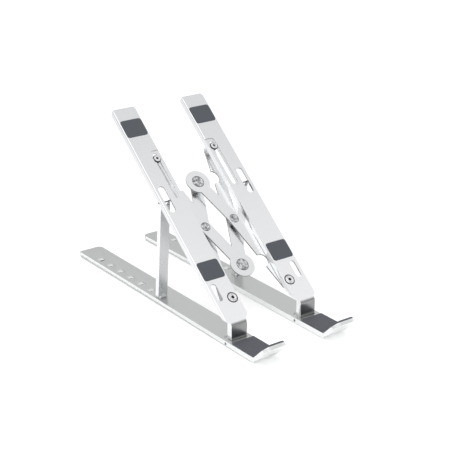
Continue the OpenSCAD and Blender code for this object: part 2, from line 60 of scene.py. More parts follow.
# %% Slope directions and measuring
across = np.array([1.0, 0.0, 0.0])
normal = -np.array(joints["width_fold"]["axis"])
uphill = np.cross(normal, across)


def corners(node):
    """All corner points of a CAD node at rest, as an array with one row a corner."""
    mesh = nodes[node].data
    points = np.empty(len(mesh.vertices) * 3)
    mesh.vertices.foreach_get("co", points)
    return points.reshape(-1, 3)


def extent(node, direction):
    """Least and greatest distance of the node's corners along a direction."""
    along = corners(node) @ direction
    return along.min(), along.max()


print("slope", round(math.degrees(math.asin(uphill[2])), 2), "degrees")

# %% [markdown]
# ## Camera
# A product view from the front left and a little above. A long lens keeps the two arms almost
# parallel, as in a catalogue, so the camera stands about a metre away.

# %% Camera
VIEW_TARGET = Vector((0.02597, joints["stand_fold"]["pos_m"][1] + 0.095, 0.05104))
VIEW_AZIMUTH = math.radians(-36.494)
VIEW_ELEVATION = math.radians(21.5)
VIEW_DISTANCE = 1.0132
VIEW_LENS = 99.15

looking = Vector(
    (
        -math.sin(VIEW_AZIMUTH) * math.cos(VIEW_ELEVATION),
        math.cos(VIEW_AZIMUTH) * math.cos(VIEW_ELEVATION),
        -math.sin(VIEW_ELEVATION),
    )
)
camera_data = bpy.data.cameras.new("studio_camera")
camera_data.lens = VIEW_LENS
camera_data.sensor_width = 36.0
camera_data.clip_start = 0.05
camera_data.clip_end = 50.0
camera = bpy.data.objects.new("studio_camera", camera_data)
camera.location = VIEW_TARGET - looking * VIEW_DISTANCE
camera.rotation_euler = looking.to_track_quat("-Z", "Y").to_euler()
bpy.context.scene.collection.objects.link(camera)
bpy.context.scene.camera = camera

# %% [markdown]
# ## Studio
# Bare metal shows mostly what it mirrors, so the room matters more than the lamps. The sky of this
# studio is a soft gradient: greyer near the horizon and bright overhead. Level rails mirror the
# horizon and read mid grey, while the sloped arms mirror the bright ceiling and read silver.
# Tall white panels stand at the front left and at the right, so rounded edges stay bright there.
# A wide lamp above gives the faint shadow under the hooks. The floor is plain and nearly white.

# %% Studio: sky, lamp and floor
SKY_LEVELS = [(0.0, 0.50), (0.30, 0.50), (0.62, 0.80), (1.0, 0.95)]
SKY_STRENGTH = 1.0
PANEL_LEVEL = 1.0
PANELS = {"front_left": ((-0.75, -0.66, 0.0), 0.25, 0.75), "right": ((1.0, -0.1, 0.0), 0.62, 0.88)}
LAMP_WATTS = 5.0
FLOOR_GLOW = 0.30
FLOOR_SIZE = 12.0

scene = bpy.context.scene
scene.view_settings.view_transform = "Standard"
scene.view_settings.look = "None"

world = bpy.data.worlds.new("studio_sky")
scene.world = world
world.use_nodes = True
sky = world.node_tree
sky.nodes.clear()
place = sky.nodes.new("ShaderNodeTexCoord")
split = sky.nodes.new("ShaderNodeSeparateXYZ")
ramp = sky.nodes.new("ShaderNodeValToRGB")
background = sky.nodes.new("ShaderNodeBackground")
output = sky.nodes.new("ShaderNodeOutputWorld")
sky.links.new(place.outputs["Generated"], split.inputs[0])
sky.links.new(split.outputs["Z"], ramp.inputs[0])
glow = ramp.outputs[0]
for facing, begins, full in PANELS.values():
    toward = sky.nodes.new("ShaderNodeVectorMath")
    toward.operation = "DOT_PRODUCT"
    toward.inputs[1].default_value = facing
    panel = sky.nodes.new("ShaderNodeMapRange")
    panel.inputs["From Min"].default_value = begins
    panel.inputs["From Max"].default_value = full
    lit = sky.nodes.new("ShaderNodeMix")
    lit.data_type = "RGBA"
    lit.inputs["B"].default_value = (PANEL_LEVEL, PANEL_LEVEL, PANEL_LEVEL, 1.0)
    sky.links.new(place.outputs["Generated"], toward.inputs[0])
    sky.links.new(toward.outputs["Value"], panel.inputs["Value"])
    sky.links.new(panel.outputs["Result"], lit.inputs["Factor"])
    sky.links.new(glow, lit.inputs["A"])
    glow = lit.outputs["Result"]
sky.links.new(glow, background.inputs["Color"])
sky.links.new(background.outputs[0], output.inputs["Surface"])
background.inputs["Strength"].default_value = SKY_STRENGTH
while len(ramp.color_ramp.elements) < len(SKY_LEVELS):
    ramp.color_ramp.elements.new(0.5)
for element, (height, level) in zip(ramp.color_ramp.elements, SKY_LEVELS):
    element.position = height
    element.color = (level, level, level * 1.005, 1.0)

lamp_data = bpy.data.lights.new("overhead_lamp", "AREA")
lamp_data.shape = "DISK"
lamp_data.size = 1.6
lamp_data.energy = LAMP_WATTS
lamp = bpy.data.objects.new("overhead_lamp", lamp_data)
lamp.location = (-0.5, -0.2, 1.7)
lamp.rotation_euler = (Vector((0, 0, 0)) - lamp.location).to_track_quat("-Z", "Y").to_euler()
lamp.visible_camera = False
scene.collection.objects.link(lamp)

half = FLOOR_SIZE / 2
floor_mesh = bpy.data.meshes.new("floor")
floor_mesh.from_pydata(
    [(-half, -half, 0), (half, -half, 0), (half, half, 0), (-half, half, 0)], [], [(0, 1, 2, 3)]
)
floor = bpy.data.objects.new("floor", floor_mesh)
scene.collection.objects.link(floor)

# %% [markdown]
# ## Shared finishes as node groups
# Two effects come back in several finishes, so each is a node group with named sockets.
# Blasted grain is the fine pebbled surface that metal has before it is anodised: a tight noise
# for the bumps, and a wide slow noise that shifts colour and roughness a little, as handling does.
# The same group paints light and shade: along the arms a painted sheen dims the colour towards
# the rear, and every pressed piece mixes in a dark shade tone as painted shade, by its attribute
# shade. Turned grooves are the fine circles that a lathe leaves round a rivet's or screw's axis.
# Their group also paints dark reflections on the rivets, and painted shade in the screw sockets
# and in a ring round each rivet's rim.


# %% Node groups
def new_group(name, inputs, outputs):
    """An empty shader node group with its sockets; each input is (name, type, default)."""
    group = bpy.data.node_groups.new(name, "ShaderNodeTree")
    for label, kind, default in inputs:
        socket = group.interface.new_socket(label, in_out="INPUT", socket_type=kind)
        if default is not None:
            socket.default_value = default
    for label, kind in outputs:
        group.interface.new_socket(label, in_out="OUTPUT", socket_type=kind)
    return group, group.nodes.new("NodeGroupInput"), group.nodes.new("NodeGroupOutput")


def noise(group, vector, scale, detail=2.0, roughness=0.5):
    """A noise texture whose scale may be a number or a socket."""
    node = group.nodes.new("ShaderNodeTexNoise")
    node.inputs["Detail"].default_value = detail
    node.inputs["Roughness"].default_value = roughness
    group.links.new(vector, node.inputs["Vector"])
    if isinstance(scale, (int, float)):
        node.inputs["Scale"].default_value = scale
    else:
        group.links.new(scale, node.inputs["Scale"])
    return node.outputs["Fac"]


def spread_value(group, value, low, high):
    """Maps 0 to 1 onto low to high, where low and high may be numbers or sockets."""
    node = group.nodes.new("ShaderNodeMapRange")
    group.links.new(value, node.inputs["Value"])
    for label, bound in (("To Min", low), ("To Max", high)):
        if isinstance(bound, (int, float)):
            node.inputs[label].default_value = bound
        else:
            group.links.new(bound, node.inputs[label])
    return node.outputs["Result"]


def blend_colours(group, share, first, second):
    """Mixes two colour sockets by a 0 to 1 share."""
    node = group.nodes.new("ShaderNodeMix")
    node.data_type = "RGBA"
    group.links.new(share, node.inputs["Factor"])
    group.links.new(first, node.inputs["A"])
    group.links.new(second, node.inputs["B"])
    return node.outputs["Result"]


# Painted sheen: with Lengthwise at 1, the colour goes from the tone at this front place to the worn and sheen tone
# at this rear place.
PAINTED_SHEEN_START_Y = -85 * MM
PAINTED_SHEEN_END_Y = 55 * MM


def make_grain_and_painted_shade():
    """Colour = mix(tone, worn and sheen tone, share), where share goes from a slow noise to the place
    along the slope as Lengthwise goes from 0 to 1. The slow noise is a random tone, and the place
    along the slope is a painted sheen, bright at the front and dimmer towards the rear. The piece's
    own attribute shade then mixes in the shade tone as painted shade. Roughness = low..high over
    the noise; normal = bump of a fine noise."""
    group, take, give = new_group(
        "grain_and_painted_shade",
        [
            ("Tone", "NodeSocketColor", (0.8, 0.8, 0.8, 1)),
            ("Worn And Sheen Tone", "NodeSocketColor", (0.7, 0.7, 0.7, 1)),
            ("Roughness Low", "NodeSocketFloat", 0.3),
            ("Roughness High", "NodeSocketFloat", 0.4),
            ("Grain Scale", "NodeSocketFloat", 2500.0),
            ("Grain Depth", "NodeSocketFloat", 0.1),
            ("Lengthwise", "NodeSocketFloat", 0.0),
            ("Shade Tone", "NodeSocketColor", (0.1, 0.1, 0.1, 1)),
        ],
        [
            ("Color", "NodeSocketColor"),
            ("Roughness", "NodeSocketFloat"),
            ("Normal", "NodeSocketVector"),
        ],
    )
    where = group.nodes.new("ShaderNodeTexCoord").outputs["Object"]
    handling = noise(group, where, 28.0, detail=4.0, roughness=0.6)
    parts = group.nodes.new("ShaderNodeSeparateXYZ")
    group.links.new(where, parts.inputs[0])
    # Painted sheen: the place along Y, from front to rear, which dims the colour towards the rear.
    along = group.nodes.new("ShaderNodeMapRange")
    along.inputs["From Min"].default_value = PAINTED_SHEEN_START_Y
    along.inputs["From Max"].default_value = PAINTED_SHEEN_END_Y
    group.links.new(parts.outputs["Y"], along.inputs["Value"])
    share = group.nodes.new("ShaderNodeMix")
    group.links.new(take.outputs["Lengthwise"], share.inputs["Factor"])
    group.links.new(handling, share.inputs["A"])
    group.links.new(along.outputs["Result"], share.inputs["B"])
    plain = blend_colours(
        group, share.outputs["Result"], take.outputs["Tone"], take.outputs["Worn And Sheen Tone"]
    )
    # Painted shade: the piece's own attribute shade mixes in the dark shade tone.
    shade = group.nodes.new("ShaderNodeAttribute")
    shade.attribute_name = "shade"
    colour = blend_colours(group, shade.outputs["Fac"], plain, take.outputs["Shade Tone"])
    rough = spread_value(
        group, handling, take.outputs["Roughness Low"], take.outputs["Roughness High"]
    )
    pebbles = noise(group, where, take.outputs["Grain Scale"], detail=3.0)
    bump = group.nodes.new("ShaderNodeBump")
    bump.inputs["Distance"].default_value = 0.00005
    group.links.new(take.outputs["Grain Depth"], bump.inputs["Strength"])
    group.links.new(pebbles, bump.inputs["Height"])
    group.links.new(colour, give.inputs["Color"])
    group.links.new(rough, give.inputs["Roughness"])
    group.links.new(bump.outputs["Normal"], give.inputs["Normal"])
    return group


def make_turned_grooves():
    """Reads the piece's own attributes turn_radius, in metres, and turn_share, the radius over
    the head's. Grooves = bump of sin(2 pi radius / pitch). The tone follows a noise towards the dull
    and reflection tone, which on the rivets is near black and paints dark reflections. Inside the
    well's share and outside the rim's share the colour is painted near black, as painted shade in
    the socket and in the gap round the head."""
    group, take, give = new_group(
        "turned_grooves",
        [
            ("Tone", "NodeSocketColor", (0.6, 0.6, 0.6, 1)),
            ("Dull And Reflection Tone", "NodeSocketColor", (0.3, 0.3, 0.3, 1)),
            ("Pitch", "NodeSocketFloat", 0.0002),
            ("Groove Depth", "NodeSocketFloat", 0.3),
            ("Well Share", "NodeSocketFloat", 0.0),
            ("Rim Share", "NodeSocketFloat", 2.0),
        ],
        [("Color", "NodeSocketColor"), ("Normal", "NodeSocketVector")],
    )
    radius = group.nodes.new("ShaderNodeAttribute")
    radius.attribute_name = "turn_radius"
    turns = group.nodes.new("ShaderNodeMath")
    turns.operation = "DIVIDE"
    group.links.new(radius.outputs["Fac"], turns.inputs[0])
    group.links.new(take.outputs["Pitch"], turns.inputs[1])
    angle = group.nodes.new("ShaderNodeMath")
    angle.operation = "MULTIPLY"
    angle.inputs[1].default_value = 2 * math.pi
    group.links.new(turns.outputs[0], angle.inputs[0])
    wave = group.nodes.new("ShaderNodeMath")
    wave.operation = "SINE"
    group.links.new(angle.outputs[0], wave.inputs[0])
    bump = group.nodes.new("ShaderNodeBump")
    bump.inputs["Distance"].default_value = 0.00003
    group.links.new(take.outputs["Groove Depth"], bump.inputs["Strength"])
    group.links.new(wave.outputs[0], bump.inputs["Height"])
    where = group.nodes.new("ShaderNodeTexCoord").outputs["Object"]
    # On the rivets, whose second tone is near black, these patches are painted dark reflections; on the screws
    # they are a mild random tone.
    patches = noise(group, where, 420.0, detail=2.0)
    dull = spread_value(group, patches, -1.1, 2.1)
    metal = blend_colours(group, dull, take.outputs["Tone"], take.outputs["Dull And Reflection Tone"])
    share = group.nodes.new("ShaderNodeAttribute")
    share.attribute_name = "turn_share"
    in_well = group.nodes.new("ShaderNodeMath")
    in_well.operation = "LESS_THAN"
    group.links.new(share.outputs["Fac"], in_well.inputs[0])
    group.links.new(take.outputs["Well Share"], in_well.inputs[1])
    on_rim = group.nodes.new("ShaderNodeMath")
    on_rim.operation = "GREATER_THAN"
    group.links.new(share.outputs["Fac"], on_rim.inputs[0])
    group.links.new(take.outputs["Rim Share"], on_rim.inputs[1])
    dark = group.nodes.new("ShaderNodeMath")
    dark.operation = "MAXIMUM"
    group.links.new(in_well.outputs[0], dark.inputs[0])
    group.links.new(on_rim.outputs[0], dark.inputs[1])
    # Painted shade: the near-black colour of the well and of the ring outside the rim.
    painted_shade_colour = group.nodes.new("ShaderNodeRGB")
    painted_shade_colour.outputs[0].default_value = (0.035, 0.036, 0.04, 1)
    colour = blend_colours(group, dark.outputs[0], metal, painted_shade_colour.outputs[0])
    group.links.new(colour, give.inputs["Color"])
    group.links.new(bump.outputs["Normal"], give.inputs["Normal"])
    return group


grain_and_painted_shade = make_grain_and_painted_shade()
turned_grooves = make_turned_grooves()

# %% [markdown]
# ## Finishes
# Anodised aluminium is metal under a thin glassy oxide, so it is fully metallic with a broad,
# soft highlight. The same recipe serves arms, links, rails and props with their own tones.
# Silicone is a dark matte plastic with a fine grain, and the rivets are polished and turned.


# %% Finish builders
def start_finish(name, metallic=0.0, specular=0.5):
    """A new material with a Principled shader whose constants sit on its own sockets."""
    finish = bpy.data.materials.new(name)
    finish.use_nodes = True
    tree = finish.node_tree
    shader = tree.nodes["Principled BSDF"]
    shader.inputs["Metallic"].default_value = metallic
    shader.inputs["Specular IOR Level"].default_value = specular
    return finish, tree, shader


def grained(name, tone, worn, roughness, scale, depth, metallic, specular=0.5, lengthwise=0.0):
    """A finish whose colour, roughness and normal come from the group of blasted grain, painted sheen and painted
    shade.
    """
    finish, tree, shader = start_finish(name, metallic, specular=specular)
    grain = tree.nodes.new("ShaderNodeGroup")
    grain.node_tree = grain_and_painted_shade
    grain.inputs["Tone"].default_value = (*tone, 1)
    grain.inputs["Worn And Sheen Tone"].default_value = (*worn, 1)
    grain.inputs["Roughness Low"].default_value = roughness[0]
    grain.inputs["Roughness High"].default_value = roughness[1]
    grain.inputs["Grain Scale"].default_value = scale
    grain.inputs["Grain Depth"].default_value = depth
    grain.inputs["Lengthwise"].default_value = lengthwise
    tree.links.new(grain.outputs["Color"], shader.inputs["Base Color"])
    tree.links.new(grain.outputs["Roughness"], shader.inputs["Roughness"])
    tree.links.new(grain.outputs["Normal"], shader.inputs["Normal"])
    return finish


def turned(name, tone, dull, roughness, pitch, depth, well, rim):
    """A polished metal finish with lathe grooves."""
    finish, tree, shader = start_finish(name, 1.0)
    shader.inputs["Roughness"].default_value = roughness
    grooves = tree.nodes.new("ShaderNodeGroup")
    grooves.node_tree = turned_grooves
    grooves.inputs["Tone"].default_value = (*tone, 1)
    grooves.inputs["Dull And Reflection Tone"].default_value = (*dull, 1)
    grooves.inputs["Pitch"].default_value = pitch
    grooves.inputs["Groove Depth"].default_value = depth
    grooves.inputs["Well Share"].default_value = well
    grooves.inputs["Rim Share"].default_value = rim
    tree.links.new(grooves.outputs["Color"], shader.inputs["Base Color"])
    tree.links.new(grooves.outputs["Normal"], shader.inputs["Normal"])
    return finish


GRAIN_SCALE = 2600.0
# The arms' colour follows their length as a painted sheen, bright at the front and dimmer towards the rear.
arm_metal = grained(
    "anodised_arm", (0.98, 0.985, 0.995), (0.76, 0.77, 0.78), (0.22, 0.28), GRAIN_SCALE, 0.06, 1.0,
    lengthwise=0.85,
)
link_metal = grained(
    "anodised_link", (0.87, 0.88, 0.885), (0.83, 0.84, 0.85), (0.20, 0.26), GRAIN_SCALE, 0.06, 1.0
)
rail_metal = grained(
    "anodised_rail", (0.83, 0.848, 0.842), (0.80, 0.818, 0.812), (0.22, 0.28), GRAIN_SCALE, 0.06, 1.0
)
prop_metal = grained(
    "anodised_prop", (0.88, 0.885, 0.89), (0.84, 0.85, 0.86), (0.24, 0.32), GRAIN_SCALE, 0.06, 1.0
)
silicone = grained(
    "slate_silicone", (0.074, 0.083, 0.097), (0.088, 0.097, 0.111), (0.55, 0.68), 1800.0, 0.25,
    0.0, 0.35,
)
hook_silicone = grained(
    "hook_silicone", (0.085, 0.091, 0.106), (0.099, 0.105, 0.121), (0.50, 0.62), 1800.0, 0.25,
    0.0, 0.4,
)
foot_rubber = grained(
    "foot_rubber", (0.028, 0.028, 0.03), (0.04, 0.04, 0.042), (0.7, 0.85), 1500.0, 0.4, 0.0, 0.3
)
# Painted shadow: the washers are painted near black, so the ring of washer round each screw head stands for the
# shadowed gap round it.
washer_painted_shadow = grained(
    "washer_painted_shadow", (0.035, 0.036, 0.04), (0.05, 0.05, 0.055), (0.4, 0.5), 1500.0, 0.2, 0.0, 0.4
)
ground_steel = grained(
    "ground_steel", (0.62, 0.62, 0.63), (0.5, 0.5, 0.52), (0.22, 0.34), 3200.0, 0.1, 1.0
)
pin_metal = grained(
    "dark_pin", (0.22, 0.22, 0.23), (0.15, 0.15, 0.16), (0.3, 0.4), 3200.0, 0.1, 1.0
)
spacer_metal = grained(
    "spacer_metal", (0.72, 0.73, 0.74), (0.62, 0.63, 0.64), (0.3, 0.42), 3000.0, 0.1, 1.0
)
# Rivets: the near-black second tone paints dark reflections, and the rim share of 0.95 paints a dark ring of shade
# round the head. Screws: the well share of 0.36 paints the socket dark as painted shade.
rivet_metal = turned("polished_rivet", (0.80, 0.81, 0.82), (0.16, 0.17, 0.18), 0.16, 0.0005, 0.5, 0.0, 0.95)
screw_metal = turned("turned_screw", (0.90, 0.90, 0.91), (0.66, 0.66, 0.68), 0.2, 0.00022, 0.3, 0.36, 2.0)

floor_finish, _, floor_shader = start_finish("studio_floor", specular=0.0)
floor_shader.inputs["Base Color"].default_value = (0.93, 0.93, 0.935, 1)
floor_shader.inputs["Roughness"].default_value = 1.0
floor_shader.inputs["Emission Color"].default_value = (1.0, 1.0, 1.0, 1.0)
floor_shader.inputs["Emission Strength"].default_value = FLOOR_GLOW
floor_mesh.materials.append(floor_finish)

# %% [markdown]
# ## Finishes on the CAD nodes
# Every node takes the finish of its material slot. Later cells stand finer pieces in for some of
# the nodes. The pressed pieces and the tiles take the same finishes, and the turned rivets and
# screws take finishes of their own.

# %% Finish of each slot
SLOT_FINISH = {
    "arm": arm_metal,
    "link": link_metal,
    "rail": rail_metal,
    "prop": prop_metal,
    "pad": silicone,
    "hook_pad": hook_silicone,
    "foot": foot_rubber,
    "washer": washer_painted_shadow,
    "pin": pin_metal,
    "spacer": spacer_metal,
    "rivet": pin_metal,
    "screw": ground_steel,
}
slot_of = {row["node"]: row["material_slot"] for row in frame["record"]["subparts"]}
body_of = {
    node: body for body, members in frame["record"]["behaviour"]["bodies"].items() for node in members
}
for node, piece in nodes.items():
    piece.data.materials.clear()
    piece.data.materials.append(SLOT_FINISH[slot_of[node]])
print(len(nodes), "nodes have a finish")


# %% [markdown]
# ## Turning a node into a pressed piece
# Pressed sheet has no sharp edges: the outer bends are round and the cut edges are slightly
# broken. A copy of the node's mesh is merged, its flat triangles are joined back into whole
# faces, and each sharp edge gets a bevel weight. The long outer bends weigh 1 and the cut edges
# weigh less, so one Bevel modifier rounds both. Weighted normals keep the flats flat. Each face
# also gets a share of painted shade in the attribute shade, which darkens its colour.


# %% Pressed pieces
SHARP = math.radians(32)
FLAT = math.radians(1.0)


def add_piece(name, mesh, node, finish):
    """Puts a mesh in the scene as a piece that stands for a CAD node and rides on its body."""
    piece = bpy.data.objects.new(name, mesh)
    scene.collection.objects.link(piece)
    mesh.materials.clear()
    mesh.materials.append(finish)
    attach(piece, body_of[node])
    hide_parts(node)
    return piece


def no_shade(centres, facings):
    """Every face keeps its own tone."""
    return np.zeros(len(centres))


def pressed(node, widest, width_of, shade_of=no_shade):
    """A copy of the node with round bends and broken edges. width_of takes the two end points of
    many sharp edges and gives the width of each one's rounding. shade_of takes the middles and
    the directions of many faces and gives how much painted shade darkens each one."""
    mesh = nodes[node].data.copy()
    mesh.name = "pressed_" + node
    work = bmesh.new()
    work.from_mesh(mesh)
    bmesh.ops.remove_doubles(work, verts=work.verts, dist=2e-6)
    bmesh.ops.dissolve_limit(work, angle_limit=FLAT, verts=work.verts, edges=work.edges)
    work.edges.ensure_lookup_table()
    work.faces.ensure_lookup_table()
    first = np.array([edge.verts[0].co for edge in work.edges])
    second = np.array([edge.verts[1].co for edge in work.edges])
    sharp = np.array([edge.calc_face_angle(0.0) > SHARP for edge in work.edges])
    weight = np.where(sharp, width_of(first, second) / widest, 0.0)
    centres = np.array([face.calc_center_median() for face in work.faces])
    facings = np.array([face.normal for face in work.faces])
    shades = shade_of(centres, facings)
    for face in work.faces:
        face.smooth = True
    work.to_mesh(mesh)
    work.free()
    layer = mesh.attributes.new("bevel_weight_edge", "FLOAT", "EDGE")
    layer.data.foreach_set("value", weight.astype(np.float32))
    # Painted shade: each face's share darkens its colour towards the finish's shade tone.
    layer = mesh.attributes.new("shade", "FLOAT", "FACE")
    layer.data.foreach_set("value", shades.astype(np.float32))
    piece = add_piece("pressed_" + node, mesh, node, SLOT_FINISH[slot_of[node]])
    rounding = piece.modifiers.new("rounded_edges", "BEVEL")
    rounding.width = widest
    rounding.segments = 4
    rounding.limit_method = "WEIGHT"
    rounding.use_clamp_overlap = False
    flats = piece.modifiers.new("flat_faces", "WEIGHTED_NORMAL")
    flats.weight = 80
    return piece


def near(value, target, slack=0.05 * MM):
    """Where the values lie within a small slack of the target."""
    return np.abs(value - target) < slack


# %% [markdown]
# ### Arms, rails, props and links
# An arm's outer bends are the edges of its top face that lie on its outline. A rail's top edge is
# crisper, since its walls are folded tighter, and only its lip is rounded over. The props are
# small channels with tight bends. The links are flat-cut, with only their edges broken.

# %% Arms
ARM_BEND = 1.0 * MM
CUT_EDGE = 0.16 * MM
ARM_CORNER = 3.1 * MM
# Painted shade shares: the nose face stands in for its dark reflection of the pad, the flanges are the arm's
# shaded sides, and the slot walls are shaded recesses.
NOSE_SHADE = 0.78
FLANK_SHADE = 0.13
SLOT_SHADE = 0.6
SLOTS_START = np.array(joints["stand_fold"]["pos_m"]) @ uphill + 24 * MM


def arm_shade(centres, facings):
    """Painted shade. The nose's upright front face is painted dark, standing in for its reflection of
    the dark pad, and the painted shade fades over the bend above it. The flanges get a little painted
    shade as the arm's sides, and the cut walls of the slots and pockets get darker painted shade."""
    upright = np.clip((-facings[:, 1] - 0.68) / 0.28, 0.0, 1.0)
    flank = np.where(np.abs(facings[:, 0]) > 0.7, FLANK_SHADE, 0.0)
    height, along = centres @ normal, centres @ uphill
    low_x, high_x = centres[:, 0].min(), centres[:, 0].max()
    inside = (centres[:, 0] > low_x + 0.6 * MM) & (centres[:, 0] < high_x - 0.6 * MM)
    inside &= (along > SLOTS_START) & (along < along.max() - ARM_CORNER)
    in_sheet = (height > height.max() - 1.5 * MM) & (np.abs(facings @ normal) < 0.5)
    flank = np.where(inside & in_sheet, SLOT_SHADE, flank)
    return np.where((centres[:, 2] < 20 * MM) & (upright > 0), NOSE_SHADE * upright, flank)


for side in ("left", "right"):
    node = side + "_arm"
    low_x, high_x = extent(node, across)
    top_n = extent(node, normal)[1]
    end_u = extent(node, uphill)[1]

    def arm_widths(a, b, low_x=low_x, high_x=high_x, top_n=top_n, end_u=end_u):
        """The outer bend is wide along the top face's outline: both ends at the top and on a
        side, or in the rounded rear corners. Every other edge is only broken."""
        at_top = near(a @ normal, top_n) & near(b @ normal, top_n)
        on_side = near(a[:, 0], b[:, 0]) & (near(a[:, 0], low_x) | near(a[:, 0], high_x))
        rear = np.minimum(a @ uphill, b @ uphill) > end_u - ARM_CORNER
        return np.where(at_top & (on_side | rear), ARM_BEND, CUT_EDGE)

    arm = pressed(node, ARM_BEND, arm_widths, arm_shade)
    print(arm.name, len(arm.data.polygons), "faces before rounding")

# %% Rails
RAIL_BEND = 0.4 * MM
LIP_ROUND = 1.35 * MM
LIP_SLOPE = math.radians(45)
NOTCH_SHADE = 0.9
NOTCH_START = joints["stand_fold"]["pos_m"][1] + 60 * MM
NOTCH_END = NOTCH_START + 145 * MM
outward = np.array([0.0, -math.sin(LIP_SLOPE), -math.cos(LIP_SLOPE)])

for side in ("left", "right"):
    node = side + "_rail"
    rail_top = joints["left_prop_fold"]["pos_m"][2] - 0.2 * MM
    lip_back = extent(node, outward)[1]

    def rail_widths(a, b, top=rail_top, back=lip_back):
        """The rim of the lip's outer face is well rounded, the rail's top outline is tight, and
        the lower edges stay as they were cut."""
        on_back = near(a @ outward, back) & near(b @ outward, back)
        at_top = near(a[:, 2], top) & near(b[:, 2], top)
        long = np.linalg.norm(a - b, axis=1) > 12 * MM
        above = np.minimum(a[:, 2], b[:, 2]) > top + 0.01 * MM
        return np.where(on_back, LIP_ROUND, np.where((at_top & long) | above, RAIL_BEND, 0.0))

    def rail_shade(centres, facings, top=rail_top):
        """The upright faces inside the notches are deep in shadow."""
        in_sheet = (centres[:, 2] < top - 0.05 * MM) & (centres[:, 2] > top - 1.6 * MM)
        behind = (centres[:, 1] > NOTCH_START) & (centres[:, 1] < NOTCH_END)
        return np.where(in_sheet & behind & (np.abs(facings[:, 1]) > 0.5), NOTCH_SHADE, 0.0)

    rail = pressed(node, LIP_ROUND, rail_widths, rail_shade)
    print(rail.name, len(rail.data.polygons), "faces before rounding")

# %% Props and links
PROP_BEND = 0.35 * MM
PROP_EDGE = 0.12 * MM
# Painted shade shares of the prop: the front of its web, and its channel and top.
PROP_SHADE = 0.30
CHANNEL_SHADE = 0.8
LINK_EDGE = 0.2 * MM
# Painted shade share of the links' cut edges, standing in for the shadow and dark reflections round them.
LINK_SHADE = 0.80


def prop_widths(a, b):
    """The prop's long edges, where its web turns into its sides, are wider than its cut ones."""
    long = near(a[:, 0], b[:, 0]) & (np.abs(a[:, 2] - b[:, 2]) > 20 * MM)
    return np.where(long, PROP_BEND, PROP_EDGE)


def prop_shade(centres, facings):
    """Painted shade: the web's front is painted greyer than the sides, and the channel and the top
    are painted darkest. A side's inner face is the one that looks towards the prop's middle."""
    middle_x = (centres[:, 0].min() + centres[:, 0].max()) / 2
    inner = (np.abs(facings[:, 0]) > 0.7) & (facings[:, 0] * (centres[:, 0] - middle_x) < 0)
    inside = (facings[:, 1] > 0.7) | (facings[:, 2] > 0.5) | inner
    return np.where(facings[:, 1] < -0.7, PROP_SHADE, np.where(inside, CHANNEL_SHADE, 0.0))


def link_shade(centres, facings):
    """Painted shade: a link's cut edge is painted dark, standing in for the shadow in the gaps under its edges and
    the dark it reflects, and its two broad faces are bright.
    """
    return np.where(np.abs(facings @ normal) < 0.5, LINK_SHADE, 0.0)


for side in ("left", "right"):
    pressed(side + "_prop", PROP_BEND, prop_widths, prop_shade)
    for row in ("front", "rear"):
        link = pressed(
            f"{side}_{row}_link", LINK_EDGE, lambda a, b: np.full(len(a), LINK_EDGE), link_shade
        )
        print(link.name, len(link.data.polygons), "faces before rounding")

# %% [markdown]
# ## Turned pieces
# Rivets and screws are round, so each is a profile turned about its axis. A profile is a list of
# (radius r, height h) pairs, and the point at angle t is
# P = centre + r (cos t . u + sin t . v) + h . n, where u, v and n are square to each other and n
# is the axis. The first and last radius are zero, and each closes in a single pole vertex.
# Every vertex keeps its own r in the attribute turn_radius, which the lathe grooves follow.

# %% Turned pieces: builder
TURN_STEPS = 72


def closed_rings(name, rings, poles):
    """Mesh of a stack of equal rings, an array of (ring, turn, xyz), closed by a bottom and a
    top pole. Quad k of ring i joins turns k and k+1 of rings i and i+1."""
    count, turns = rings.shape[:2]
    grid = np.arange(count * turns).reshape(count, turns)
    after = np.roll(grid, -1, axis=1)
    faces = np.stack([grid[:-1], after[:-1], after[1:], grid[1:]], axis=-1).reshape(-1, 4).tolist()
    bottom, top = count * turns, count * turns + 1
    faces += [(bottom, int(after[0, i]), int(grid[0, i])) for i in range(turns)]
    faces += [(top, int(grid[-1, i]), int(after[-1, i])) for i in range(turns)]
    mesh = bpy.data.meshes.new(name)
    mesh.from_pydata(np.concatenate([rings.reshape(-1, 3), poles]).tolist(), [], faces)
    mesh.update()
    mesh.polygons.foreach_set("use_smooth", [True] * len(faces))
    return mesh


def turned_mesh(name, centre, profile, axis, first, head):
    """Closed surface of revolution. profile rows are (r, h) from the bottom pole to the top one,
    and head is the head's radius."""
    axis, first = np.asarray(axis, float), np.asarray(first, float)
    second = np.cross(axis, first)
    rings = np.array(profile[1:-1])
    turns = np.linspace(0, 2 * math.pi, TURN_STEPS, endpoint=False)
    spoke = np.cos(turns)[:, None] * first + np.sin(turns)[:, None] * second
    body = rings[:, None, :1] * spoke[None] + rings[:, None, 1:] * axis
    poles = np.array([profile[0][1], profile[-1][1]])[:, None] * axis
    mesh = closed_rings(name, body + centre, poles + centre)
    radius = np.concatenate([np.repeat(rings[:, 0], TURN_STEPS), [0.0, 0.0]])
    layer = mesh.attributes.new("turn_radius", "FLOAT", "POINT")
    layer.data.foreach_set("value", radius.astype(np.float32))
    layer = mesh.attributes.new("turn_share", "FLOAT", "POINT")
    layer.data.foreach_set("value", (radius / head).astype(np.float32))
    return mesh


